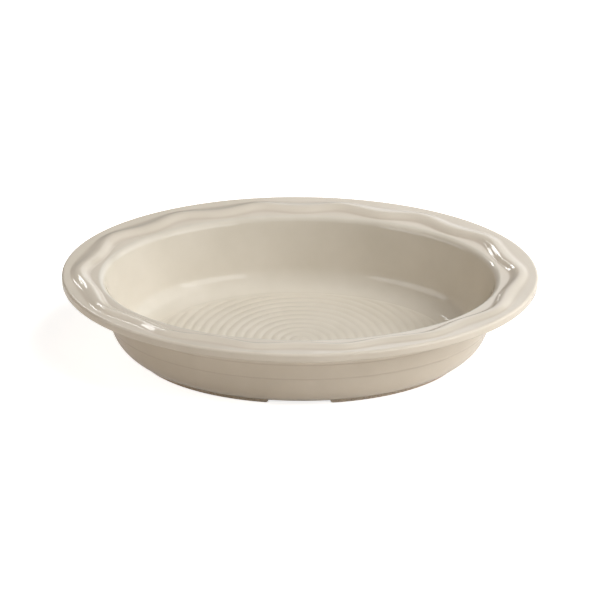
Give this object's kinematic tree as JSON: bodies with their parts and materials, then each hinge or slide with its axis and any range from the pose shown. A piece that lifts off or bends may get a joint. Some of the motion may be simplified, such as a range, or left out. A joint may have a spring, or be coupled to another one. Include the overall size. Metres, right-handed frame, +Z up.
{
  "type": "oval pie dish",
  "caption": "Oval stoneware pie dish with a leaning wall, a ringed floor, a notched foot ring and a wide flange that carries a waved ridge.",
  "frame": {"origin": "on the table under the middle of the foot ring", "axes": "X along the dish, Y across it, Z up out of the well"},
  "size_m": [0.305, 0.225, 0.0572],
  "materials": {
    "fired_clay": "matte",
    "cream_glaze": "gloss"
  },
  "bodies": {
    "root": {"stoneware_body": "fired_clay", "inside_glaze": "cream_glaze", "outside_glaze": "cream_glaze"}
  },
  "joints": []
}
